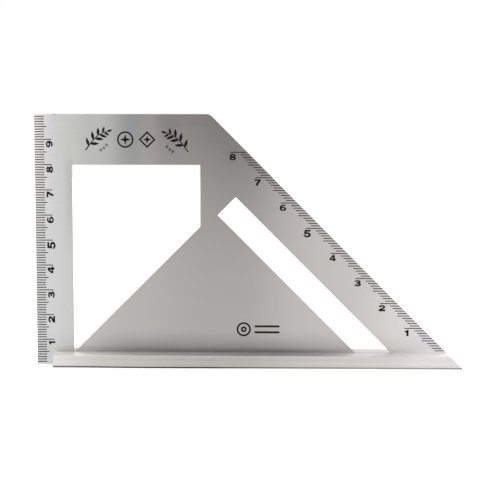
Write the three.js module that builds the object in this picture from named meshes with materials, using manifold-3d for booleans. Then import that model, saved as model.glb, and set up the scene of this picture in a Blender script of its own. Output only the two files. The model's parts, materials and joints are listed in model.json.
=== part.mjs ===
// Three-way mitre square: a thin steel blade with a vertical edge, a level top edge and a
// 45 degree edge, and a T-section fence made of two rails that clamp the blade's lower edge.
// Millimetres. +X runs along the fence towards the sharp tip, +Y from the front face to the
// back, +Z up. The origin is on the sole, in the blade's middle plane, half way between the
// vertical edge and the tip. Parts are drawn with x = 0 at the vertical edge, and the whole
// square is then moved back by half its length.
import * as THREE from "three";
import { mergeVertices } from "three/addons/utils/BufferGeometryUtils.js";
import Module from "manifold-3d";

// ---- Dimensions ----
const SOLE_LENGTH = 169.4; // also x + z along the 45 degree edge
const BLADE_HEIGHT = 100;
const BLADE_THICKNESS = 1;
const TOP_CORNER_RADIUS = 3; // where the top edge meets the 45 degree edge
const TOP_CORNER_STEPS = 8;
const EASED_CORNER_RADIUS = 0.4; // at the top of the vertical edge
const EASED_CORNER_STEPS = 4;

const WINDOW_LEFT = 14.7;
const WINDOW_RIGHT = 65.6;
const WINDOW_TOP = 80;
const WINDOW_DIAGONAL = 10; // x - z along the window's 45 degree edge

const SLOT_INNER_SUM = 132.7; // x + z along the slot's lower edge
const SLOT_OUTER_SUM = 147; // x + z along the slot's upper edge
const SLOT_END = -12.4; // z - x along the slot's square upper end
const SLOT_FLOOR = 4.7; // just under the fence's top, which leaves a fine joint line

const FENCE_HEIGHT = 5;
const FENCE_WIDTH = 16; // across both rails and the blade
const FENCE_SETBACK = 7.6; // from the blade's vertical edge to the rails' square end
const RAIL_CHAMFER = 0.3; // along each rail's two outer edges

const PIN_RADIUS = 1;
const PIN_HOLE_RADIUS = 1.3;
const PIN_COUNT = 6;
const FIRST_PIN = 15; // from the blade's vertical edge
const PIN_PITCH = 28;
const PIN_HEIGHT = FENCE_HEIGHT / 2; // above the sole
const PIN_DEPTH = 4.5; // how far each pin runs into the front rail
const PIN_SIDES = 24;

const CUT_OVERRUN = 4; // how far cutting solids run past the faces they cut

// ---- Derived sizes ----
const HALF_BLADE = BLADE_THICKNESS / 2;
const HALF_FENCE = FENCE_WIDTH / 2;
const RAIL_WIDTH = HALF_FENCE - HALF_BLADE;
const PIN_FRONT = -HALF_BLADE - PIN_DEPTH; // y of each pin's buried end
const PIN_BACK = HALF_FENCE; // y of each pin's flush end
const PIN_POSITIONS = Array.from({ length: PIN_COUNT }, (_, i) => FIRST_PIN + i * PIN_PITCH);

// ---- Materials ----
const steel = ({ color, roughness }) =>
  new THREE.MeshStandardMaterial({ color, roughness, metalness: 1 });
const bladeSteel = () => steel({ color: 0xb4b5b1, roughness: 0.38 });
const railSteel = () => steel({ color: 0xc6c4bc, roughness: 0.34 });
const pinSteel = () => steel({ color: 0xbdbcb6, roughness: 0.3 });

// ---- Solids that can be cut ----
const wasm = await Module();
wasm.setup();

// Welds a closed geometry into a solid. Normals and uvs go first, as they would keep
// the corners of neighbouring faces apart.
function solid(geometry) {
  geometry.deleteAttribute("normal");
  geometry.deleteAttribute("uv");
  const welded = mergeVertices(geometry, 1e-4);
  return new wasm.Manifold(
    new wasm.Mesh({
      numProp: 3,
      vertProperties: welded.attributes.position.array,
      triVerts: new Uint32Array(welded.index.array),
    }),
  );
}

// Turns a solid back into a flat-shaded geometry.
function geometryOf(manifold) {
  const mesh = manifold.getMesh();
  const indexed = new THREE.BufferGeometry();
  indexed.setAttribute("position", new THREE.Float32BufferAttribute(mesh.vertProperties, 3));
  indexed.setIndex(new THREE.Uint32BufferAttribute(mesh.triVerts, 1));
  const flat = indexed.toNonIndexed();
  flat.computeVertexNormals();
  return flat;
}

// ---- Outlines ----
const point = (x, y) => new THREE.Vector2(x, y);

// Points along an arc, both ends included.
function arc({ x, z, radius, start = 0, turn, steps }) {
  return Array.from({ length: steps + 1 }, (_, i) => {
    const angle = start + turn * (i / steps);
    return point(x + radius * Math.cos(angle), z + radius * Math.sin(angle));
  });
}

function closedPath(points, Type = THREE.Path) {
  const path = new Type(points);
  path.closePath();
  return path;
}

const extrude = (shape, depth) =>
  new THREE.ExtrudeGeometry(shape, { depth, bevelEnabled: false });

// An outline in the X-Z plane, made thick along Y and centred on y = 0.
function plate(shape, thickness) {
  return extrude(shape, thickness)
    .rotateX(Math.PI / 2) // the extrusion now runs towards -Y
    .translate(0, thickness / 2, 0);
}

// ---- The blade ----
function bladeOutline() {
  // The outline turns through 45 degrees at the top corner, so the arc starts on the top
  // edge this far short of the sharp corner.
  const tangentLength = TOP_CORNER_RADIUS * Math.tan(Math.PI / 8);
  return [
    point(0, 0),
    point(SOLE_LENGTH, 0),
    ...arc({
      x: SOLE_LENGTH - BLADE_HEIGHT - tangentLength,
      z: BLADE_HEIGHT - TOP_CORNER_RADIUS,
      radius: TOP_CORNER_RADIUS,
      start: Math.PI / 4,
      turn: Math.PI / 4,
      steps: TOP_CORNER_STEPS,
    }),
    ...arc({
      x: EASED_CORNER_RADIUS,
      z: BLADE_HEIGHT - EASED_CORNER_RADIUS,
      radius: EASED_CORNER_RADIUS,
      start: Math.PI / 2,
      turn: Math.PI / 2,
      steps: EASED_CORNER_STEPS,
    }),
  ];
}

function windowOutline() {
  return [
    point(WINDOW_LEFT, WINDOW_LEFT - WINDOW_DIAGONAL),
    point(WINDOW_LEFT, WINDOW_TOP),
    point(WINDOW_RIGHT, WINDOW_TOP),
    point(WINDOW_RIGHT, WINDOW_RIGHT - WINDOW_DIAGONAL),
  ];
}

// The slot runs parallel to the 45 degree edge, and its upper end is square to its sides.
function slotOutline() {
  const floorPoint = (sum) => point(sum - SLOT_FLOOR, SLOT_FLOOR);
  const endPoint = (sum) => point((sum - SLOT_END) / 2, (sum + SLOT_END) / 2);
  return [
    floorPoint(SLOT_INNER_SUM),
    endPoint(SLOT_INNER_SUM),
    endPoint(SLOT_OUTER_SUM),
    floorPoint(SLOT_OUTER_SUM),
  ];
}

function pinHoleOutline(x) {
  const circle = arc({
    x,
    z: PIN_HEIGHT,
    radius: PIN_HOLE_RADIUS,
    turn: -2 * Math.PI,
    steps: PIN_SIDES,
  });
  return circle.slice(0, -1); // the last point repeats the first
}

function bladeGeometry() {
  const shape = closedPath(bladeOutline(), THREE.Shape);
  const holes = [windowOutline(), slotOutline(), ...PIN_POSITIONS.map(pinHoleOutline)];
  shape.holes = holes.map((points) => closedPath(points));
  return plate(shape, BLADE_THICKNESS);
}

// ---- The rails ----
// side is -1 for the front rail and +1 for the rear rail.
function railBar(side) {
  // Columns: distance out from the blade's face, height above the sole.
  const section = [
    [0, 0],
    [RAIL_WIDTH - RAIL_CHAMFER, 0],
    [RAIL_WIDTH, RAIL_CHAMFER],
    [RAIL_WIDTH, FENCE_HEIGHT - RAIL_CHAMFER],
    [RAIL_WIDTH - RAIL_CHAMFER, FENCE_HEIGHT],
    [0, FENCE_HEIGHT],
  ];
  const points = section.map(([out, z]) => point(side * (HALF_BLADE + out), z));
  return extrude(new THREE.Shape(points), SOLE_LENGTH - FENCE_SETBACK)
    .rotateX(Math.PI / 2)
    .rotateZ(Math.PI / 2) // the two turns lay the section in Y-Z and its length along +X
    .translate(FENCE_SETBACK, 0, 0);
}

// Everything beyond the plane of the 45 degree edge, at the rails' height.
function tipCutter() {
  const right = SOLE_LENGTH + CUT_OVERRUN;
  const top = FENCE_HEIGHT + CUT_OVERRUN;
  const wedge = new THREE.Shape([
    point(right, -CUT_OVERRUN),
    point(right, top),
    point(SOLE_LENGTH - top, top),
  ]);
  return plate(wedge, FENCE_WIDTH + 2 * CUT_OVERRUN);
}

// A hole right through the rear rail and blind in the front rail.
function pinHoleCutter(x) {
  const back = PIN_BACK + CUT_OVERRUN;
  return new THREE.CylinderGeometry(
    PIN_HOLE_RADIUS, PIN_HOLE_RADIUS, back - PIN_FRONT, PIN_SIDES,
  ).translate(x, (PIN_FRONT + back) / 2, PIN_HEIGHT);
}

function railGeometry(side) {
  const cutters = [tipCutter(), ...PIN_POSITIONS.map(pinHoleCutter)];
  const rail = cutters.reduce(
    (remaining, cutter) => remaining.subtract(solid(cutter)),
    solid(railBar(side)),
  );
  return geometryOf(rail);
}

// ---- The assembly ----
function piece(name, geometry, material) {
  const mesh = new THREE.Mesh(geometry, material);
  mesh.name = name;
  return mesh;
}

function railPin(x, i) {
  const geometry = new THREE.CylinderGeometry(
    PIN_RADIUS, PIN_RADIUS, PIN_BACK - PIN_FRONT, PIN_SIDES,
  );
  const pin = piece(`rail_pin_${i + 1}`, geometry, pinSteel());
  pin.position.set(x, (PIN_BACK + PIN_FRONT) / 2, PIN_HEIGHT);
  return pin;
}

const fence = new THREE.Group();
fence.add(piece("front_rail", railGeometry(-1), railSteel()));
fence.add(piece("rear_rail", railGeometry(1), railSteel()));
fence.add(...PIN_POSITIONS.map(railPin));

const square = new THREE.Group();
square.position.x = -SOLE_LENGTH / 2;
square.add(piece("blade", bladeGeometry(), bladeSteel()), fence);

const assembly = new THREE.Group();
assembly.add(square);

export default assembly;
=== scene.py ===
# A steel marking square: a flat blade with a vertical edge and a 45 degree edge, a fence of two
# rails pinned along its sole, and millimetre scales and ornaments on the blade's marked face.
# X runs along the sole, Z up the blade, and the marked face looks towards -Y.
# Outlines are (x, z) in millimetres, with x counted from the blade's vertical edge.
import json
import math
from types import SimpleNamespace

import bmesh
import bpy
from mathutils import Matrix, Vector
from mathutils.geometry import delaunay_2d_cdt

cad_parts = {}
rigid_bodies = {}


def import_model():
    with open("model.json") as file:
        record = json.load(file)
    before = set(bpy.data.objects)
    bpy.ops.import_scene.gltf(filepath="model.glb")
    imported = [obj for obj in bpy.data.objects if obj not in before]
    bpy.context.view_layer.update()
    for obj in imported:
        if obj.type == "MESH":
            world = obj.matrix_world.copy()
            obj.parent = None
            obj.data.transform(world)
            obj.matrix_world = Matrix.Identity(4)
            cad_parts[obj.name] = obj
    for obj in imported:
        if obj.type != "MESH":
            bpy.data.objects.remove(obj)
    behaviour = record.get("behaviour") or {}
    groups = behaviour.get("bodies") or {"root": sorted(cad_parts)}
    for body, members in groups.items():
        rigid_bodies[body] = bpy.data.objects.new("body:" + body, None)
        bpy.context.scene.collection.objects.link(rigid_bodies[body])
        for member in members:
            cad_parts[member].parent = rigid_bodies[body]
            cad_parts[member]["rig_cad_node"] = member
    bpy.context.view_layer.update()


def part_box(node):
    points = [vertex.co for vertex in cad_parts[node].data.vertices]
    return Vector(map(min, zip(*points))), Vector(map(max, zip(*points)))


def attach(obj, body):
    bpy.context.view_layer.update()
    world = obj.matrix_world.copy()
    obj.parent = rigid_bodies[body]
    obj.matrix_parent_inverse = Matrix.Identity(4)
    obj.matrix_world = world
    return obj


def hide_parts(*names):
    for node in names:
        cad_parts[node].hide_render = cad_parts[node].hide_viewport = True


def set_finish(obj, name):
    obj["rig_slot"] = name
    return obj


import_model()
scene = bpy.context.scene
MM = 0.001


# ---------------------------------------------------------------- sizes, in millimetres
def cad_box(piece):
    return [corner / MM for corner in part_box(piece)]


blade_lo, blade_hi = cad_box("blade")
front_lo, front_hi = cad_box("front_rail")
rear_lo, rear_hi = cad_box("rear_rail")
X0 = blade_lo.x                      # the blade's vertical edge
LENGTH = blade_hi.x - blade_lo.x     # along the sole, also x + z on the 45 degree edge
HEIGHT = blade_hi.z
FACE_Y = blade_lo.y                  # marked face
BACK_Y = blade_hi.y
FENCE_H = front_hi.z
SETBACK = front_lo.x - X0            # from the vertical edge to the fence

# The window's sloping side is x - z = diagonal.
WINDOW = dict(left=14.7, top=80.0, right=65.6, diagonal=10.0)
# The slot beside the 45 degree edge: inner and outer are x + z, end is z - x, floor is z.
SLOT = dict(inner=132.7, outer=147.0, end=-12.4, floor=4.7)

BLADE_ROUND = 0.09
RAIL_OUTER_ROUND, RAIL_INNER_ROUND = 0.22, 0.12
RIM_STEPS = 4                        # across each rounded rim
SHARP_TURN = 0.5                     # radians between outline edges that still shade smooth

PIN_COUNT, PIN_FIRST, PIN_PITCH = 6, 15, 28
PIN_Z, PIN_R, PIN_GAP, PIN_ROUND = 2.5, 1.0, 0.035, 0.12
PIN_STEPS = 40

INK_THICKNESS = 0.014


# ---------------------------------------------------------------- outlines
def rounded(points, radii, steps):
    """The outline with each corner replaced by an arc of its own radius; 0 stays sharp."""
    outline = []
    for i, (point, radius) in enumerate(zip(points, radii)):
        corner = Vector(point)
        if radius <= 0:
            outline.append((corner.x, corner.y))
            continue
        back = (Vector(points[i - 1]) - corner).normalized()
        ahead = (Vector(points[(i + 1) % len(points)]) - corner).normalized()
        half = math.acos(max(-1, min(1, back.dot(ahead)))) / 2
        reach = radius / math.tan(half)
        centre = corner + (back + ahead).normalized() * (radius / math.sin(half))
        first, last = corner + back * reach - centre, corner + ahead * reach - centre
        turn = math.atan2(first.x * last.y - first.y * last.x, first.dot(last))
        for k in range(steps + 1):
            angle = turn * k / steps
            outline.append((centre.x + first.x * math.cos(angle) - first.y * math.sin(angle),
                            centre.y + first.x * math.sin(angle) + first.y * math.cos(angle)))
    return outline


def inset(loop, distance):
    """Each point moved into the material, which lies to the left of the loop's direction."""
    moved_points = []
    for i, point in enumerate(loop):
        here = Vector(point)
        edge_in = (here - Vector(loop[i - 1])).normalized()
        edge_out = (Vector(loop[(i + 1) % len(loop)]) - here).normalized()
        normal_in, normal_out = Vector((-edge_in.y, edge_in.x)), Vector((-edge_out.y, edge_out.x))
        mitre = (normal_in + normal_out) / (1 + normal_in.dot(normal_out))
        moved_points.append((here.x + mitre.x * distance, here.y + mitre.y * distance))
    return moved_points


def ellipse(cx, cz, rx, rz, start=0.0, end=360.0, steps=36):
    closed = abs(end - start) >= 360
    angles = [math.radians(start + (end - start) * i / steps)
              for i in range(steps if closed else steps + 1)]
    return [(cx + rx * math.cos(angle), cz + rz * math.sin(angle)) for angle in angles]


# ---------------------------------------------------------------- meshes
def add_object(name, bm):
    mesh = bpy.data.meshes.new(name)
    bm.to_mesh(mesh)
    bm.free()
    obj = bpy.data.objects.new(name, mesh)
    scene.collection.objects.link(obj)
    return obj


def rim(radius, face_y, inward):
    """(inset, y, edge mark) from a flat face round to the side wall."""
    angles = [math.radians(90 * k / RIM_STEPS) for k in range(RIM_STEPS + 1)]
    return [(radius * (1 - math.sin(angle)), face_y + inward * radius * (1 - math.cos(angle)),
             1.0 if k else 0.0) for k, angle in enumerate(angles)]


def plate(name, outer, holes, y0, y1, round0, round1, material):
    """A flat plate in the X-Z plane from y0 to y1, with rims rounded to round0 and round1.
    outer runs anticlockwise and holes clockwise, seen from the -Y side."""
    profile = rim(round0, y0, 1) + rim(round1, y1, -1)[::-1]
    bm = bmesh.new()
    edge = bm.verts.layers.float.new("edge")
    walls = []
    for loop in [outer] + list(holes):
        rings = []
        for depth, y, mark in profile:
            ring_verts = [bm.verts.new((X0 * MM + x * MM, y * MM, z * MM))
                          for x, z in inset(loop, depth)]
            for vert in ring_verts:
                vert[edge] = mark
            rings.append(ring_verts)
        walls.append(rings)
        count = len(loop)
        turns = []
        for i in range(count):
            along = Vector(loop[i]) - Vector(loop[i - 1])
            turns.append(abs(along.angle_signed(Vector(loop[(i + 1) % count]) - Vector(loop[i]))))
        for near, far in zip(rings, rings[1:]):
            for i in range(count):
                j = (i + 1) % count
                bm.faces.new((near[i], far[i], far[j], near[j]))
            for i in range(count):
                if turns[i] > SHARP_TURN:
                    bm.edges.get((near[i], far[i])).smooth = False
    caps = []
    for end in (0, -1):
        verts, regions = [], []
        for k, rings in enumerate(walls):
            span = list(range(len(verts), len(verts) + len(rings[end])))
            regions.append(span if k == 0 else span[::-1])
            verts += rings[end]
        flat = [Vector((vert.co.x / MM, vert.co.z / MM)) for vert in verts]
        _, _, triangles, source, _, region = delaunay_2d_cdt(flat, [], regions, 1, 1e-7)
        for triangle, inside in zip(triangles, region):
            if list(inside) == [0]:      # in the outer outline and in no hole
                a, b, c = (verts[source[i][0]] for i in triangle)
                caps.append(bm.faces.new((a, b, c) if end == 0 else (a, c, b)))
    for face in bm.faces:
        face.smooth = True
    for face in caps:
        face.smooth = False
    bmesh.ops.recalc_face_normals(bm, faces=bm.faces)
    obj = add_object(name, bm)
    obj.data.materials.append(material)
    weighted = obj.modifiers.new("face_weighted", "WEIGHTED_NORMAL")
    weighted.mode = "FACE_AREA"
    weighted.weight = 80
    weighted.keep_sharp = True
    return obj


def film(name, shapes, material):
    """Thin marks on the marked face: the union of the shapes, each (outline, [cut-outs])."""
    verts, loops, tags = [], [], []
    for k, (outer, cuts) in enumerate(shapes):
        for solid, loop in [(True, outer)] + [(False, cut) for cut in cuts]:
            area = sum(loop[i - 1][0] * p[1] - loop[i - 1][1] * p[0] for i, p in enumerate(loop))
            if area < 0:
                loop = loop[::-1]
            loops.append(list(range(len(verts), len(verts) + len(loop))))
            verts += [Vector(point) for point in loop]
            tags.append((k, solid))
    points, _, faces, _, _, sources = delaunay_2d_cdt(verts, [], loops, 1, 1e-6)
    kept = []
    for face, source in zip(faces, sources):
        filled = {tags[s][0] for s in source if tags[s][1]}
        removed = {tags[s][0] for s in source if not tags[s][1]}
        if filled - removed:
            a, b, c = (points[i] for i in face[:3])
            if abs((b - a).cross(c - a)) > 1e-9:
                kept.append(list(face))
    bm = bmesh.new()
    front, back = {}, {}
    for face in kept:
        for i in face:
            if i not in front:
                x, z = (X0 + points[i].x) * MM, points[i].y * MM
                front[i] = bm.verts.new((x, (FACE_Y - INK_THICKNESS) * MM, z))
                back[i] = bm.verts.new((x, FACE_Y * MM, z))
    edges = {}
    for face in kept:
        edges.update(dict.fromkeys(zip(face, face[1:] + face[:1])))
        bm.faces.new([front[i] for i in face])
        bm.faces.new([back[i] for i in reversed(face)])
    for i, j in edges:
        if (j, i) not in edges:
            bm.faces.new((front[j], front[i], back[i], back[j]))
    bmesh.ops.recalc_face_normals(bm, faces=bm.faces)
    add_object(name, bm).data.materials.append(material)


# ---------------------------------------------------------------- node helpers
class Nodes:
    def __init__(self, tree):
        self.tree = tree
        tree.nodes.clear()

    def new(self, kind, **props):
        node = self.tree.nodes.new(kind)
        for key, value in props.items():
            setattr(node, key, value)
        return node

    def link(self, source, target):
        self.tree.links.new(source, target)

    def put(self, socket, value):
        if isinstance(value, bpy.types.NodeSocket):
            self.link(value, socket)
        else:
            socket.default_value = value

    def fill(self, node, values):
        for socket, value in zip(node.inputs, values):
            self.put(socket, value)
        return node.outputs[0]

    def math(self, operation, *values, clamp=False):
        node = self.new("ShaderNodeMath", operation=operation, use_clamp=clamp)
        return self.fill(node, values)

    def product(self, first, *others):
        for value in others:
            first = self.math("MULTIPLY", first, value)
        return first

    def swing(self, value, amount):
        """A 0 to 1 value centred on zero and scaled."""
        return self.product(self.math("SUBTRACT", value, 0.5), amount)

    def vector(self, operation, *values):
        return self.fill(self.new("ShaderNodeVectorMath", operation=operation), values)

    def separate(self, vector):
        node = self.new("ShaderNodeSeparateXYZ")
        self.link(vector, node.inputs[0])
        return node.outputs

    def linear(self, value, start, end, low=0.0, high=1.0, kind="LINEAR"):
        node = self.new("ShaderNodeMapRange", interpolation_type=kind)
        for name, setting in (("Value", value), ("From Min", start), ("From Max", end),
                              ("To Min", low), ("To Max", high)):
            self.put(node.inputs[name], setting)
        return node.outputs[0]

    def smooth(self, value, start, end, low=0.0, high=1.0):
        return self.linear(value, start, end, low, high, "SMOOTHSTEP")

    def ramp(self, value, points, kind, **props):
        """A ramp through (value, (red, green, blue)) points over the top level, and that level."""
        first, last = points[0][0], points[-1][0]
        top = max(max(rgb) for _, rgb in points)
        node = self.new("ShaderNodeValToRGB", **props)
        node.color_ramp.interpolation = kind
        stops = node.color_ramp.elements
        for k, (place, rgb) in enumerate(points):
            share = (place - first) / (last - first)
            if k == 0:
                stop = stops[0]
            else:
                stop = stops[-1] if k == len(points) - 1 else stops.new(share)
            stop.position = share
            stop.color = tuple(channel / top for channel in rgb) + (1,)
        self.link(self.linear(value, first, last), node.inputs[0])
        return node.outputs[0], top

    def curve(self, value, points):
        """A smooth curve through (value, level) points, flat beyond the first and last."""
        grey = [(place, (level,) * 3) for place, level in points]
        return self.product(*self.ramp(value, grey, "CARDINAL"))

    def tone(self, name, value, points):
        """A colour that runs straight between its points, flat beyond the ends."""
        colour, top = self.ramp(value, points, "LINEAR", name=name)
        scale = self.new("ShaderNodeVectorMath", operation="SCALE", name=name + "_level")
        self.link(colour, scale.inputs[0])
        scale.inputs["Scale"].default_value = top
        return scale.outputs[0]

    def noise(self, coords, stretch, detail=3.0, rough=0.6, offset=(0, 0, 0)):
        """Noise stretched by cycles per millimetre along each axis."""
        mapping = self.new("ShaderNodeMapping", vector_type="POINT")
        self.link(coords, mapping.inputs["Vector"])
        mapping.inputs["Scale"].default_value = stretch
        mapping.inputs["Location"].default_value = offset
        texture = self.new("ShaderNodeTexNoise", noise_dimensions="3D")
        self.link(mapping.outputs[0], texture.inputs["Vector"])
        texture.inputs["Scale"].default_value = 1.0
        texture.inputs["Detail"].default_value = detail
        texture.inputs["Roughness"].default_value = rough
        return texture.outputs["Fac"]

    def mix(self, factor, first, second):
        node = self.new("ShaderNodeMix", data_type="RGBA", blend_type="MIX")
        self.put(node.inputs[0], factor)
        self.put(node.inputs[6], first)
        self.put(node.inputs[7], second)
        return node.outputs[2]


def rgba(rgb, gain=1.0):
    return tuple(gain * channel for channel in rgb) + (1,)


def new_material(name):
    """A material, its nodes, its Principled shader and its coordinates in millimetres."""
    material = bpy.data.materials.new(name)
    material.use_nodes = True
    nodes = Nodes(material.node_tree)
    output = nodes.new("ShaderNodeOutputMaterial")
    shader = nodes.new("ShaderNodeBsdfPrincipled")
    nodes.link(shader.outputs[0], output.inputs[0])
    coords = nodes.new("ShaderNodeTexCoord").outputs["Object"]
    return material, nodes, shader, nodes.vector("MULTIPLY", coords, (1000.0, 1000.0, 1000.0))


# ---------------------------------------------------------------- layers over the steel
# Each takes the colour so far and gives the new one. Places are millimetres in the object's
# frame, and the tables are (x, level) stations.
# Colour of the painted shade on the blade above the fence.
SHADE_GREY = (0.06, 0.058, 0.055, 1)
# Colour of the painted shade at the foot of the fence.
SHADE_BLACK = (0.02, 0.019, 0.017, 1)


def rail_tops(nodes, surface, colour):
    """Faces turned upwards, with painted light: a paler top, a painted highlight at low x, painted
    shade mid-length and painted shade on the rear rail's top.
    """
    x, y = surface.x, surface.y
    up = nodes.smooth(surface.normal[2], start=0.8, end=0.95)
    # Painted light: faces turned upwards get a paler colour, as if lit from above.
    lit_top = nodes.mix(surface.level, (0.837, 0.82305, 0.7905, 1), (0.93, 0.91605, 0.8835, 1))
    colour = nodes.mix(up, colour, lit_top)
    # Painted highlight on the tops at low x.
    painted_highlight = nodes.product(up, nodes.curve(x, [(-78, 0.7), (-60, 0.7), (-50, 0.4), (-38, 0.0)]))
    colour = nodes.mix(painted_highlight, colour, (1.0, 0.99, 0.96, 1))
    # Painted shade on the tops, strongest mid-length.
    mid_shade = nodes.product(up, nodes.curve(x, [
        (-58, 0.0), (-50, 0.12), (-36, 0.42), (-14, 0.82), (2, 1.0), (14, 1.0), (30, 0.75),
        (38, 0.35), (44, 0.0)]))
    mid_shade_darkening, mid_shade_tint = 0.24, 0.8
    colour = nodes.mix(nodes.product(mid_shade, mid_shade_darkening), colour, (0.02, 0.02, 0.02, 1))
    # Painted shade on the rear rail's top at low x.
    window_shade = nodes.product(up, nodes.smooth(y, start=0.3, end=0.7), nodes.curve(x, [
        (-78, 0.0), (-73, 0.42), (-70, 0.5), (-66, 0.48), (-60, 0.3), (-50, 0.1), (-40, 0.0)]))
    colour = nodes.mix(window_shade, colour, (0.05, 0.05, 0.048, 1))
    # Less reflection at a flat angle where the painted shade lies mid-length, which darkens the top
    # further.
    tint = nodes.mix(nodes.product(mid_shade, mid_shade_tint), (1, 1, 1, 1), (0, 0, 0, 1))
    nodes.link(tint, surface.shader.inputs["Specular Tint"])
    return colour


def cut_walls(nodes, surface, colour):
    """Darker sawn or stamped walls, square to the faces."""
    strength = 0.8
    wall = nodes.smooth(nodes.math("ABSOLUTE", surface.normal[1]), start=0.5, end=0.2)
    return nodes.mix(nodes.product(wall, strength), colour, (0.42, 0.415, 0.405, 1))


def sawn_ends(nodes, surface, colour):
    """End faces with saw marks."""
    ends = (0.56, 0.55, 0.53)
    sawn = nodes.noise(surface.coords, (0.4, 5.0, 0.4), offset=(2, 9, 4))
    end_face = nodes.smooth(nodes.math("ABSOLUTE", surface.normal[0]), start=0.6, end=0.68)
    marks = nodes.smooth(sawn, start=0.35, end=0.65)
    return nodes.mix(end_face, colour, nodes.mix(marks, rgba(ends), rgba(ends, gain=0.8)))


def sole_contact_shade(nodes, surface, colour):
    """Painted shade: a dark contact-shadow line along the foot of the fence's outer faces, and a faint
    painted shade on them.
    """
    x, z = surface.x, surface.z
    # Height of the line's top, less its fixed part, and of the bare strip below the line.
    raised = nodes.math("SUBTRACT", z, nodes.curve(x, [
        (-79, 0.24), (-62, 0.17), (-45, 0.02), (-20, 0.0), (10, 0.05), (45, 0.10), (84, 0.10)]))
    bare = nodes.math("SUBTRACT", z, nodes.curve(x, [
        (-79, 0.25), (-62, 0.22), (-48, 0.04), (-22, 0.03), (-6, 0.12), (8, 0.17), (32, 0.18),
        (56, 0.12), (84, 0.08)]))
    # Painted contact shadow: a dark line at the foot of the outer faces.
    low = nodes.product(nodes.smooth(raised, start=0.62, end=0.52),
                        nodes.smooth(bare, start=-0.05, end=0.05))
    outer_face = nodes.smooth(nodes.math("ABSOLUTE", surface.y), start=7.5, end=7.7)
    strength = nodes.curve(x, [
        (-80, 0.86), (-60, 0.92), (-45, 0.95), (-35, 1.0), (-18, 1.0), (0, 0.84), (30, 0.68),
        (60, 0.62), (84, 0.66)])
    patches = nodes.noise(surface.coords, (0.12, 0.5, 0.5), detail=2, rough=0.5, offset=(5, 5, 5))
    strength = nodes.product(strength, nodes.linear(patches, 0.3, 0.7, low=0.9, high=1.05))
    low = nodes.product(low, outer_face, strength)
    # Painted shade on the outer faces towards high x.
    front_shade = nodes.product(outer_face, nodes.curve(x, [
        (30, 0.0), (44, 0.03), (52, 0.09), (58, 0.11), (68, 0.045), (84, 0.05)]))
    colour = nodes.mix(front_shade, colour, SHADE_BLACK)
    return nodes.mix(nodes.math("MULTIPLY", low, 1.0, clamp=True), colour, SHADE_BLACK)


def fence_corner_shade(nodes, surface, colour):
    """Painted shade on the blade: a broad shade above the fence, a faint darker upright strip, and a
    painted contact shadow in the joint with the fence.
    """
    x, z = surface.x, surface.z
    shade_power, shade_strength, strip_strength = 1.6, 0.45, 0.13
    # Painted shade above the fence, fading upwards.
    lifted = nodes.math("SUBTRACT", z, nodes.curve(x, [
        (-80, 0.2), (-50, 0.2), (-20, 0.08), (10, 0.0)]))
    near = nodes.math("POWER", nodes.smooth(lifted, start=17.0, end=4.0), shade_power)
    # The painted shade is lighter just above the fence, then again slightly higher up.
    low_gap = nodes.product(nodes.smooth(z, start=5.8, end=5.15), nodes.curve(x, [
        (-76, 0.3), (-50, 0.3), (-25, 0.15), (0, 0.05), (20, 0.0)]))
    near = nodes.product(near, nodes.math("SUBTRACT", 1.0, low_gap))
    high_gap = nodes.product(nodes.smooth(z, start=6.6, end=8.0), nodes.curve(x, [
        (-79, 0.5), (-60, 0.45), (-50, 0.12), (-36, 0.04), (-28, 0.0)]))
    near = nodes.product(near, nodes.math("SUBTRACT", 1.0, high_gap))
    patches = nodes.noise(surface.coords, (0.05, 0.3, 0.3), detail=2, rough=0.5)
    near = nodes.product(near, nodes.linear(patches, 0.3, 0.7, low=0.9, high=1.1))
    near = nodes.product(near, nodes.curve(x, [
        (-79, 0.25), (-75, 0.54), (-63, 0.83), (-51, 1.22), (-39, 1.25), (-27, 1.22), (-15, 1.08),
        (10, 1.11), (21, 0.94), (33, 0.77), (57, 0.44), (69, 0.22), (80, 0.12)]))
    near = nodes.math("MULTIPLY", near, shade_strength, clamp=True)
    colour = nodes.mix(near, colour, SHADE_GREY)
    # A faint upright strip of painted shade.
    across = nodes.product(nodes.smooth(x, start=-74.2, end=-70.2),
                           nodes.smooth(x, start=-69.5, end=-69.9))
    upright = nodes.product(nodes.smooth(z, start=40.0, end=66.0),
                            nodes.smooth(z, start=84.0, end=80.0))
    strip = nodes.product(across, upright, strip_strength)
    colour = nodes.mix(strip, colour, SHADE_GREY)
    # Painted contact shadow in the joint between blade and fence.
    joint_shadow = nodes.product(nodes.smooth(z, start=5.1, end=5.26),
                           nodes.smooth(z, start=5.95, end=5.55))
    joint_shadow = nodes.product(joint_shadow, nodes.curve(x, [
        (-77.2, 0.0), (-76.4, 0.2), (-75.3, 0.3), (-71, 0.33), (-66, 0.17), (-62.5, 0.15),
        (-60, 0.33), (-54, 0.28), (-46, 0.19), (-36, 0.1), (-28, 0.04), (-20, 0.0)]))
    return nodes.mix(joint_shadow, colour, (0.03, 0.029, 0.027, 1))


# ---------------------------------------------------------------- materials
def brushed_streaks(nodes, coords):
    return nodes.noise(coords, (0.02, 1.9, 1.9))


def drawn_streaks(nodes, coords):
    """Streaks that run dead straight along X and only change in strength."""
    strength = nodes.noise(coords, (0.03, 0.2, 0.2), detail=2, rough=0.5, offset=(4, 8, 2))
    strength = nodes.linear(strength, 0.3, 0.7, low=0.45, high=1.35)
    drawn = nodes.noise(coords, (0.0, 1.35, 1.35))
    return nodes.math("ADD", nodes.swing(drawn, strength), 0.5)


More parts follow.
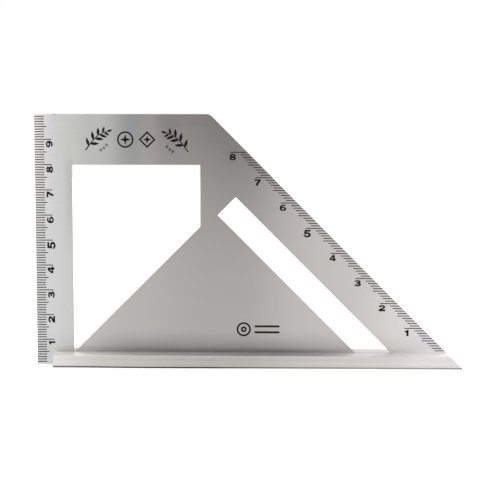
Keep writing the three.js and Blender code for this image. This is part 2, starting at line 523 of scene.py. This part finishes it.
def steel(name, light, dark, rough, aniso, grain, streak, bump, streaks=brushed_streaks,
          before_wear=(), after_wear=()):
    """Satin steel brushed along X: long streaks, fine grain, soft smudges, brighter worn edges.
    grain and streak are their contrasts; the last two are layers under and over the wear."""
    material, nodes, shader, coords = new_material(name)
    surface = SimpleNamespace(coords=coords, shader=shader)
    layered = before_wear or after_wear
    if layered:
        surface.x, surface.y, surface.z = nodes.separate(coords)
    normal = nodes.new("ShaderNodeNewGeometry").outputs["True Normal"]
    if layered:
        surface.normal = nodes.separate(normal)
    long_streak = streaks(nodes, coords)
    fine = nodes.noise(coords, (0.08, 9.0, 9.0), offset=(7, 3, 1))
    cloud = nodes.noise(coords, (0.028, 0.028, 0.028), detail=2, rough=0.5, offset=(3, 0, 9))
    scuff = nodes.noise(coords, (0.6, 0.6, 0.6), offset=(11, 2, 5))
    edge = nodes.new("ShaderNodeAttribute", attribute_name="edge").outputs["Fac"]

    # Brightness: 0.5 in the middle of the range, changed a little by each cause.
    cloud_contrast = 0.16
    level = nodes.swing(long_streak, streak)
    level = nodes.math("ADD", level, nodes.swing(fine, grain))
    level = nodes.math("ADD", level, nodes.swing(cloud, cloud_contrast))
    surface.level = nodes.math("ADD", level, 0.5, clamp=True)
    colour = nodes.mix(surface.level, rgba(dark), rgba(light))
    for layer in before_wear:
        colour = layer(nodes, surface, colour)
    worn = nodes.product(edge, nodes.smooth(scuff, start=0.42, end=0.62, low=0.12, high=0.5))
    colour = nodes.mix(worn, colour, rgba(light, gain=1.1))
    for layer in after_wear:
        colour = layer(nodes, surface, colour)
    nodes.link(colour, shader.inputs["Base Color"])
    shader.inputs["Metallic"].default_value = 1.0

    # Roughness changes with the streaks, the smudges and the rounded edges.
    streak_rough, cloud_rough, edge_rough = 0.05, 0.03, 0.06
    roughness = nodes.math("ADD", rough, nodes.swing(long_streak, streak_rough))
    roughness = nodes.math("ADD", roughness, nodes.swing(cloud, cloud_rough))
    roughness = nodes.math("ADD", roughness, nodes.product(edge, edge_rough), clamp=True)
    nodes.link(roughness, shader.inputs["Roughness"])

    # The small added vector keeps the tangent from vanishing on faces square to X.
    shader.inputs["Anisotropic"].default_value = aniso
    across = nodes.vector("CROSS_PRODUCT", normal, (1.0, 0.0, 0.0))
    across = nodes.vector("NORMALIZE", nodes.vector("ADD", across, (0.0, 0.0011, 0.0013)))
    nodes.link(across, shader.inputs["Tangent"])

    fine_share, streak_share = 0.7, 0.3
    height = nodes.math("ADD", nodes.product(fine, fine_share),
                        nodes.product(long_streak, streak_share))
    bump_node = nodes.new("ShaderNodeBump")
    bump_node.inputs["Strength"].default_value = bump
    bump_node.inputs["Distance"].default_value = 0.00003
    nodes.link(height, bump_node.inputs["Height"])
    nodes.link(bump_node.outputs[0], shader.inputs["Normal"])
    return material


def ink(name, base, worn):
    """Matt black engraving fill, a little thin and grey in places."""
    material, nodes, shader, coords = new_material(name)
    patch = nodes.noise(coords, (0.35, 0.35, 0.35))
    speck = nodes.noise(coords, (6, 6, 6), detail=2, rough=0.5, offset=(2, 5, 1))
    patch_share, speck_share = 0.6, 0.4
    thin = nodes.math("ADD", nodes.product(patch, patch_share), nodes.product(speck, speck_share))
    thin = nodes.smooth(thin, start=0.45, end=0.72)
    nodes.link(nodes.mix(thin, rgba(base), rgba(worn)), shader.inputs["Base Color"])
    nodes.link(nodes.linear(speck, 0, 1, low=0.38, high=0.62), shader.inputs["Roughness"])
    shader.inputs["Specular IOR Level"].default_value = 0.12
    return material


BLADE_STEEL = steel("blade_steel", light=(0.69, 0.683, 0.670), dark=(0.60, 0.594, 0.583),
                    rough=0.13, aniso=1.0, grain=0.22, streak=0.30, bump=0.05,
                    after_wear=(cut_walls, fence_corner_shade))
RAIL_STEEL = steel("rail_steel", light=(0.805, 0.79, 0.755), dark=(0.635, 0.622, 0.59),
                   rough=0.28, aniso=0.85, grain=0.15, streak=1.7, bump=0.04,
                   streaks=drawn_streaks, before_wear=(rail_tops,),
                   after_wear=(sawn_ends, sole_contact_shade))
PIN_STEEL = steel("pin_steel", light=(0.80, 0.79, 0.76), dark=(0.64, 0.63, 0.60),
                  rough=0.33, aniso=0.3, grain=0.6, streak=0.5, bump=0.2)
INK = ink("mark_black", base=(0.004, 0.004, 0.004), worn=(0.012, 0.0115, 0.011))
LINE_INK = ink("line_black", base=(0.006, 0.006, 0.006), worn=(0.03, 0.029, 0.028))


# ---------------------------------------------------------------- the blade
def replace_piece(obj, piece, slot_name):
    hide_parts(piece)
    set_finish(obj, slot_name)


def from_diagonals(total, difference):
    """The point with the given x + z and z - x."""
    return ((total - difference) / 2, (total + difference) / 2)


outline = rounded([(0, 0), (LENGTH, 0), (LENGTH - HEIGHT, HEIGHT), (0, HEIGHT)],
                  [0.12, 0, 3.0, 0.4], 12)
left, right, top = WINDOW["left"], WINDOW["right"], WINDOW["top"]
window = rounded([(left, left - WINDOW["diagonal"]), (left, top),
                  (right, top), (right, right - WINDOW["diagonal"])],
                 [0.12, 0.25, 0.25, 0.25], 5)
inner, outer, floor_z = SLOT["inner"], SLOT["outer"], SLOT["floor"]
slot = rounded([(inner - floor_z, floor_z), from_diagonals(inner, SLOT["end"]),
                from_diagonals(outer, SLOT["end"]), (outer - floor_z, floor_z)],
               [0.1, 0.25, 0.25, 0.1], 5)
blade = plate("blade_plate", outline, [window, slot], FACE_Y, BACK_Y,
              BLADE_ROUND, BLADE_ROUND, BLADE_STEEL)
replace_piece(blade, "blade", "blade_steel")

# ---------------------------------------------------------------- the fence
pin_places = [PIN_FIRST + PIN_PITCH * i for i in range(PIN_COUNT)]
rail_outline = rounded([(SETBACK, 0), (LENGTH, 0), (LENGTH - FENCE_H, FENCE_H),
                        (SETBACK, FENCE_H)], [0.26, 0, 0.3, 0.3], 5)
front = plate("fence_front", rail_outline, [], front_lo.y, front_hi.y,
              RAIL_OUTER_ROUND, RAIL_INNER_ROUND, RAIL_STEEL)
replace_piece(front, "front_rail", "rail_steel")
hole_r = PIN_R + PIN_GAP
pin_holes = [ellipse(x, PIN_Z, hole_r, hole_r, 0, -360, PIN_STEPS) for x in pin_places]
rear = plate("fence_rear", rail_outline, pin_holes, rear_lo.y, rear_hi.y,
             RAIL_INNER_ROUND, RAIL_OUTER_ROUND, RAIL_STEEL)
replace_piece(rear, "rear_rail", "rail_steel")
for i, x in enumerate(pin_places, 1):
    pin_lo, pin_hi = cad_box(f"rail_pin_{i}")
    pin = plate(f"pin_{i}", ellipse(x, PIN_Z, PIN_R, PIN_R, steps=PIN_STEPS), [],
                pin_lo.y, pin_hi.y, PIN_ROUND, PIN_ROUND, PIN_STEEL)
    replace_piece(pin, f"rail_pin_{i}", "pin_steel")


# ---------------------------------------------------------------- flat shapes: (outline, [cut-outs])
def band(cx, cz, outer_x, outer_z, inner_x, inner_z, start, end):
    return (ellipse(cx, cz, outer_x, outer_z, start, end, 26)
            + ellipse(cx, cz, inner_x, inner_z, end, start, 26), [])


def ring(cx, cz, outer_x, outer_z, inner_x, inner_z, steps=36):
    return (ellipse(cx, cz, outer_x, outer_z, steps=steps),
            [ellipse(cx, cz, inner_x, inner_z, steps=steps)])


def box(x0, z0, x1, z1):
    return ([(x0, z0), (x1, z0), (x1, z1), (x0, z1)], [])


def moved(shapes, place):
    return [([place(*point) for point in outer], [[place(*point) for point in cut] for cut in cuts])
            for outer, cuts in shapes]


# ---------------------------------------------------------------- the two scales
VERTICAL_LINE, ANGLED_LINE = 0.36, 0.34          # line widths
VERTICAL_LENGTHS = (6.8, 4.8, 3.85)              # at tens, at fives, elsewhere
ANGLED_LENGTHS = (6.9, 4.9, 3.82)
VERTICAL_GAP, ANGLED_GAP = 0.1, 0.13             # from the blade's edge to the lines


def line_length(k, lengths):
    return lengths[0] if k % 10 == 0 else lengths[1] if k % 5 == 0 else lengths[2]


lines = []
half = VERTICAL_LINE / 2
for k in range(1, 100):
    lines.append(box(VERTICAL_GAP, k - half, line_length(k, VERTICAL_LENGTHS), k + half))
# A sliver of a line at the blade's top edge.
lines.append(([(7.1, HEIGHT - 0.24), (8.3, HEIGHT - 0.30), (8.6, HEIGHT - 0.14),
               (7.1, HEIGHT - 0.11)], []))
film("scale_lines_vertical", lines, LINE_INK)

lines = []
half = ANGLED_LINE / 2
for k in range(1, 81):
    # The lowest lines are up to 0.24 longer, fading out at the 36th.
    length = line_length(k, ANGLED_LENGTHS) + 0.24 * min(1.0, max(0.0, (36 - k) / 24))
    z = FENCE_H + k
    start, end = LENGTH - z - length, LENGTH - z - ANGLED_GAP
    lines.append(([(start, z - half), (end + half, z - half), (end - half, z + half),
                   (start, z + half)], []))
film("scale_lines_angled", lines, LINE_INK)

# Numerals, in a box one unit high: bold, wide and plain. Each is (width, shapes).
SIX = [ring(0.5, 0.325, 0.49, 0.325, 0.195, 0.112),
       band(0.53, 0.5, 0.52, 0.5, 0.225, 0.275, 44, 195)]
NUMERALS = {
    1: (0.74, [([(0.31, 0), (0.64, 0), (0.64, 1.0), (0.42, 1.0), (0.29, 0.87), (0.03, 0.83),
                 (0.03, 0.61), (0.31, 0.61)], [])]),
    2: (1.00, [band(0.50, 0.68, 0.48, 0.32, 0.16, 0.085, -34, 188),
               ([(0.01, 0.0), (0.99, 0.0), (0.99, 0.285), (0.56, 0.285), (0.82, 0.43),
                 (0.93, 0.54), (0.64, 0.63), (0.48, 0.53), (0.11, 0.35), (0.01, 0.16)], [])]),
    3: (1.00, [band(0.48, 0.735, 0.455, 0.265, 0.14, 0.05, -95, 178),
               band(0.49, 0.295, 0.50, 0.295, 0.17, 0.065, -178, 95),
               box(0.28, 0.41, 0.54, 0.64)]),
    4: (1.02, [box(0.55, 0.0, 0.86, 1.0), box(0.0, 0.185, 1.02, 0.42),
               ([(0.0, 0.25), (0.16, 0.25), (0.62, 0.77), (0.62, 1.0), (0.48, 1.0),
                 (0.0, 0.45)], [])]),
    5: (1.00, [box(0.15, 0.76, 0.92, 1.0),
               ([(0.07, 0.38), (0.35, 0.46), (0.40, 0.78), (0.40, 0.96), (0.15, 0.96)], []),
               band(0.48, 0.34, 0.49, 0.34, 0.185, 0.115, -170, 142)]),
    6: (1.00, SIX),
    7: (0.98, [box(0.03, 0.745, 0.96, 1.0),
               ([(0.20, 0.0), (0.56, 0.0), (0.64, 0.30), (0.96, 0.70), (0.96, 0.86),
                 (0.64, 0.86), (0.33, 0.42)], [])]),
    8: (1.00, [ring(0.50, 0.74, 0.45, 0.26, 0.14, 0.058),
               ring(0.50, 0.295, 0.50, 0.295, 0.172, 0.075)]),
    9: (1.00, moved(SIX, lambda x, z: (1.0 - x, 1 - z))),
}

# Beside the vertical edge the numerals lie on their side, heads towards the edge.
shapes = []
for n in range(1, 10):
    height = 3.3 if n == 5 else 2.72
    unit = height * {1: 0.82, 5: 0.93, 7: 0.94}.get(n, 1.0)
    width, numeral = NUMERALS[n]
    foot = n * 10 - 0.55 - width * unit
    shapes += moved(numeral, lambda u, v: (4.55 + (1 - v) * height, foot + u * unit))
film("numerals_vertical", shapes, INK)

# Beside the 45 degree edge they stand upright, each just below the end of its line.
NUMERAL_GAPS = {1: 0.3, 2: 0.7, 3: 0.5, 5: 0.9, 7: 0.5}
shapes = []
for n in range(1, 9):
    height = 3.0 if n == 5 else 2.52
    unit = height * {2: 1.08, 3: 1.08, 4: 0.95, 5: 1.03, 8: 1.08}.get(n, 1.06)
    z = FENCE_H + n * 10
    start = LENGTH - z - ANGLED_LENGTHS[0] - NUMERAL_GAPS.get(n, 0.4)
    foot = z - 0.60 - height
    shapes += moved(numeral_shapes := NUMERALS[n][1],
                    lambda u, v: (start + u * unit, foot + v * height))
film("numerals_angled", shapes, INK)

# ---------------------------------------------------------------- ornaments
STEM_STEPS = 14
# Station on the stem, side, length, width.
LEAVES = [(2, 1, 3.4, 1.15), (3, -1, 3.5, 1.2), (5, 1, 3.5, 1.2), (6, -1, 3.6, 1.2),
          (8, 1, 3.3, 1.15), (9, -1, 3.3, 1.1), (11, 1, 2.7, 0.95), (12, -1, 2.5, 0.9)]
LEAF_SPREAD = 52                                 # degrees from the stem
BERRIES = [(2.6, -3.6), (3.7, -2.4), (1.4, -4.3)]


def leaf(x, z, angle, length, width, steps=9):
    turn = math.radians(angle)
    cos, sin = math.cos(turn), math.sin(turn)
    side = [(length * i / steps, width / 2 * math.sin(math.pi * (i / steps) ** 0.85))
            for i in range(steps + 1)]
    loop = [(u, -v) for u, v in side] + [(u, v) for u, v in reversed(side[1:-1])]
    return ([(x + u * cos - v * sin, z + u * sin + v * cos) for u, v in loop], [])


def heading(start, end):
    along = Vector(end) - Vector(start)
    return math.degrees(math.atan2(along.y, along.x))


def sprig(cx, cz, mirror):
    """A curved stem with paired leaves and a few berries, about 10.5 mm across."""
    stem = []
    for i in range(STEM_STEPS + 1):
        t = i / STEM_STEPS
        stem.append((-4.6 + 8.6 * t, -4.4 + 7.4 * t + 1.5 * math.sin(math.pi * t)))
    left, right = [], []
    for i, (x, z) in enumerate(stem):
        along = Vector(stem[min(i + 1, STEM_STEPS)]) - Vector(stem[max(i - 1, 0)])
        along.normalize()
        half = 0.24 - 0.10 * i / STEM_STEPS
        left.append((x - along.y * half, z + along.x * half))
        right.append((x + along.y * half, z - along.x * half))
    shapes = [(right + left[::-1], [])]
    for i, side, length, width in LEAVES:
        angle = heading(stem[i - 1], stem[i + 1]) + side * LEAF_SPREAD
        shapes.append(leaf(*stem[i], angle, length, width))
    tip_x, tip_z = stem[-1]
    shapes.append(leaf(tip_x - 0.1, tip_z - 0.1, heading(stem[-2], stem[-1]), 2.2, 0.95))
    shapes += [ring(x, z, 0.52, 0.52, 0.24, 0.24) for x, z in BERRIES]
    return moved(shapes, lambda x, z: (cx + mirror * x, cz + z))


def star(cx, cz, outer, inner, turn):
    """A four-pointed star."""
    points = []
    for i in range(8):
        radius, angle = (inner if i % 2 else outer), math.radians(turn + 180 * i / 4)
        points.append((cx + radius * math.cos(angle), cz + radius * math.sin(angle)))
    return (points, [])


film("ornament_left", sprig(24.9, 90.2, mirror=1), INK)
film("ornament_right", sprig(56.2, 89.6, mirror=-1), INK)
film("medallion_left", [ring(36.0, 89.95, 3.25, 3.25, 2.6, 2.6),
                        star(36.0, 89.95, outer=2.25, inner=0.7, turn=90)], INK)
film("medallion_right", [ring(44.65, 89.95, 3.35, 3.35, 2.45, 2.45, steps=4),
                         star(44.65, 89.95, outer=1.6, inner=0.62, turn=0)], INK)
# Two rings and two bars near the fence.
film("plain_mark", [ring(83.0, 14.4, 2.85, 2.85, 2.15, 2.15), ring(83.0, 14.4, 1.15, 1.15, 0.45, 0.45),
                    box(87.3, 15.2, 97.3, 16.0), box(87.3, 12.8, 97.3, 13.6)], INK)

# ---------------------------------------------------------------- everything rides on the one body
for obj in list(scene.objects):
    if obj.type == "MESH" and "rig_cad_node" not in obj:
        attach(obj, "root")
        if "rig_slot" not in obj:
            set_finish(obj, "mark_black")

# ---------------------------------------------------------------- studio brightness
# Each entry is (direction, (red, green, blue)).
# Painted pool of light: how brightly the floor glows in the steel, darker in the middle, by x / (|y| +
# POOL_DEPTH), in metres.
POOL_DEPTH = 0.39
POOL = [
    (-0.3, (1.0, 1.001, 1.001)), (-0.2, (0.989, 0.995, 1.025)), (-0.15, (0.787, 0.773, 0.771)),
    (-0.1, (0.739, 0.725, 0.695)), (-0.05, (0.672, 0.653, 0.638)), (0, (0.675, 0.661, 0.637)),
    (0.05, (0.802, 0.779, 0.766)), (0.1, (0.862, 0.834, 0.844)), (0.15, (1.085, 1.046, 1.05)),
    (0.2, (1.074, 1.019, 1.13)), (0.3, (1.05, 1.05, 1.05)),
]
# Room in front of the marked face, by x / |y|.
FRONT_WALL = [
    (-0.8, (1.162, 1.159, 1.156)), (-0.4, (1.163, 1.159, 1.156)), (-0.27, (4.5, 4.5, 3.987)),
    (-0.22, (1.083, 1.055, 1.117)), (-0.196, (0.784, 0.797, 0.846)),
    (-0.18, (0.896, 0.938, 0.798)), (-0.168, (0.583, 0.587, 0.642)),
    (-0.158, (0.782, 0.785, 0.849)), (-0.149, (0.787, 0.828, 0.799)),
    (-0.14, (0.534, 0.567, 0.504)), (-0.131, (0.323, 0.326, 0.341)),
    (-0.123, (0.172, 0.195, 0.284)), (-0.115, (0.321, 0.357, 0.39)),
    (-0.1065, (0.594, 0.593, 0.516)), (-0.098, (0.404, 0.345, 0.327)),
    (-0.09, (0.113, 0.08, 0.15)), (-0.08, (0.269, 0.265, 0.29)), (-0.065, (0.288, 0.264, 0.259)),
    (-0.045, (0.214, 0.204, 0.201)), (-0.02, (0.137, 0.114, 0.132)), (0.005, (0.222, 0.182, 0.22)),
    (0.03, (0.535, 0.472, 0.565)), (0.055, (0.755, 0.686, 0.674)), (0.08, (0.958, 0.935, 0.932)),
    (0.105, (0.969, 0.939, 0.917)), (0.13, (0.408, 0.44, 0.25)), (0.16, (1.269, 1.289, 1.175)),
    (0.19, (3.167, 3.222, 3.532)), (0.23, (1.007, 1.008, 1.01)), (0.3, (1.087, 1.088, 1.085)),
    (0.5, (1.148, 1.147, 1.145)), (0.9, (1.15, 1.149, 1.145)),
]
# Room behind the square, by x / |y|.
BACK_WALL = [
    (-0.5, (1.15, 1.15, 1.15)), (-0.25, (0.802, 0.801, 0.802)), (-0.2, (0.91, 0.879, 0.919)),
    (-0.16, (0.836, 0.789, 0.883)), (-0.1, (0.7, 0.625, 0.782)), (0, (0.641, 0.531, 0.548)),
    (0.06, (0.669, 0.573, 0.532)), (0.1, (0.693, 0.635, 0.607)), (0.14, (0.762, 0.745, 0.812)),
    (0.17, (0.824, 0.834, 0.929)), (0.2, (0.627, 0.73, 0.667)), (0.25, (0.761, 0.783, 0.735)),
    (0.5, (1.144, 1.143, 1.141)),
]
# Ceiling panels, by x.
CEILING = [
    (-0.45, (1.189, 1.183, 1.177)), (-0.2, (1.769, 1.759, 1.653)), (-0.1, (1.24, 1.121, 0.864)),
    (0, (0.451, 0.423, 0.367)), (0.1, (0.527, 0.522, 0.507)), (0.2, (2.449, 2.257, 2.58)),
    (0.45, (1.18, 1.177, 1.177)),
]


# ---------------------------------------------------------------- floor
def mix_shader(nodes, factor, first, second):
    return nodes.fill(nodes.new("ShaderNodeMixShader"), (factor, first, second))


bm = bmesh.new()
bmesh.ops.create_grid(bm, x_segments=2, y_segments=2, size=4.0)
floor = add_object("floor", bm)
floor.location.z = -0.00002

# White paper to the camera; to reflections the floor glows with a painted pool of light; clear from
# below.
floor_white = bpy.data.materials.new("floor_white")
floor_white.use_nodes = True
nodes = Nodes(floor_white.node_tree)
output = nodes.new("ShaderNodeOutputMaterial")
from_camera = nodes.new("ShaderNodeLightPath").outputs["Is Camera Ray"]
geometry = nodes.new("ShaderNodeNewGeometry")
x, y, _ = nodes.separate(geometry.outputs["Position"])
side = nodes.math("DIVIDE", x, nodes.math("ADD", nodes.math("ABSOLUTE", y), POOL_DEPTH))
pool = nodes.new("ShaderNodeEmission")
nodes.link(nodes.tone("pool", side, POOL), pool.inputs["Color"])
paper = nodes.new("ShaderNodeBsdfDiffuse")
paper.inputs[0].default_value = (1.5, 1.5, 1.5, 1)
clear = nodes.new("ShaderNodeBsdfTransparent")
lit = mix_shader(nodes, from_camera, pool.outputs[0], paper.outputs[0])
below = nodes.product(geometry.outputs["Backfacing"], from_camera)
nodes.link(mix_shader(nodes, below, lit, clear.outputs[0]), output.inputs[0])
floor.data.materials.append(floor_white)

# ---------------------------------------------------------------- world
world = bpy.data.worlds.new("studio")
scene.world = world
world.use_nodes = True
nodes = Nodes(world.node_tree)
output = nodes.new("ShaderNodeOutputWorld")
direction = nodes.new("ShaderNodeTexCoord").outputs["Generated"]
x, y, z = nodes.separate(nodes.vector("NORMALIZE", direction))
least_y = 0.02                                   # keeps x / |y| finite
side = nodes.math("DIVIDE", x, nodes.math("MAXIMUM", nodes.math("ABSOLUTE", y), least_y))
above = nodes.smooth(z, start=0.3, end=0.75)
walls = nodes.mix(nodes.smooth(y, start=-0.03, end=0.03),
                  nodes.tone("front_wall", side, FRONT_WALL),
                  nodes.tone("back_wall", side, BACK_WALL))
room = nodes.new("ShaderNodeBackground")
panels = nodes.mix(nodes.smooth(y, start=-0.25, end=-0.05), rgba((0.85,) * 3),
                   nodes.tone("ceiling", x, CEILING))
overhead = nodes.mix(nodes.smooth(z, start=0.62, end=0.88), panels, rgba((0.8,) * 3))
nodes.link(nodes.mix(above, walls, overhead), room.inputs["Color"])
white = nodes.new("ShaderNodeBackground")        # what the camera sees
white.inputs["Color"].default_value = (1, 1, 1, 1)
white.inputs["Strength"].default_value = 1.0
from_camera = nodes.new("ShaderNodeLightPath").outputs["Is Camera Ray"]
nodes.link(mix_shader(nodes, from_camera, room.outputs[0], white.outputs[0]), output.inputs[0])

# ---------------------------------------------------------------- light, in metres and watts
LIGHT_PLACE, LIGHT_TARGET = Vector((0.05, -0.15, 1.1)), Vector((0, 0, 0.03))
softbox = bpy.data.lights.new("overhead_softbox", "AREA")
softbox.shape = "RECTANGLE"
softbox.size, softbox.size_y = 1.0, 0.8
softbox.energy = 0.6
light = bpy.data.objects.new("overhead_softbox", softbox)
light.location = LIGHT_PLACE
light.rotation_euler = (LIGHT_TARGET - LIGHT_PLACE).to_track_quat("-Z", "Y").to_euler()
light.visible_camera = False
scene.collection.objects.link(light)

scene.view_settings.view_transform = "Standard"
scene.view_settings.look = "None"
scene.view_settings.exposure = 0.0
scene.view_settings.gamma = 1.0

# ---------------------------------------------------------------- camera, facing the marked face
CAMERA_PLACE = Vector((86.64 + X0, -391.085626 + FACE_Y, 82.407762))
CAMERA_RIGHT = Vector((0.999907211, 0.013488555, 0.001899486))
CAMERA_UP = Vector((-0.002997374, 0.081846589, 0.996640432))
CAMERA_FORWARD = Vector((-0.013287773, 0.996553659, -0.081879426))
camera_data = bpy.data.cameras.new("camera")
camera_data.sensor_fit = "HORIZONTAL"
camera_data.sensor_width = 36.0
camera_data.lens = 74.01
camera_data.clip_start, camera_data.clip_end = 0.01, 20
camera = bpy.data.objects.new("camera", camera_data)
pose = Matrix((CAMERA_RIGHT, CAMERA_UP, -CAMERA_FORWARD)).transposed().to_4x4()
pose.translation = CAMERA_PLACE * MM
camera.matrix_world = pose
scene.collection.objects.link(camera)
scene.camera = camera
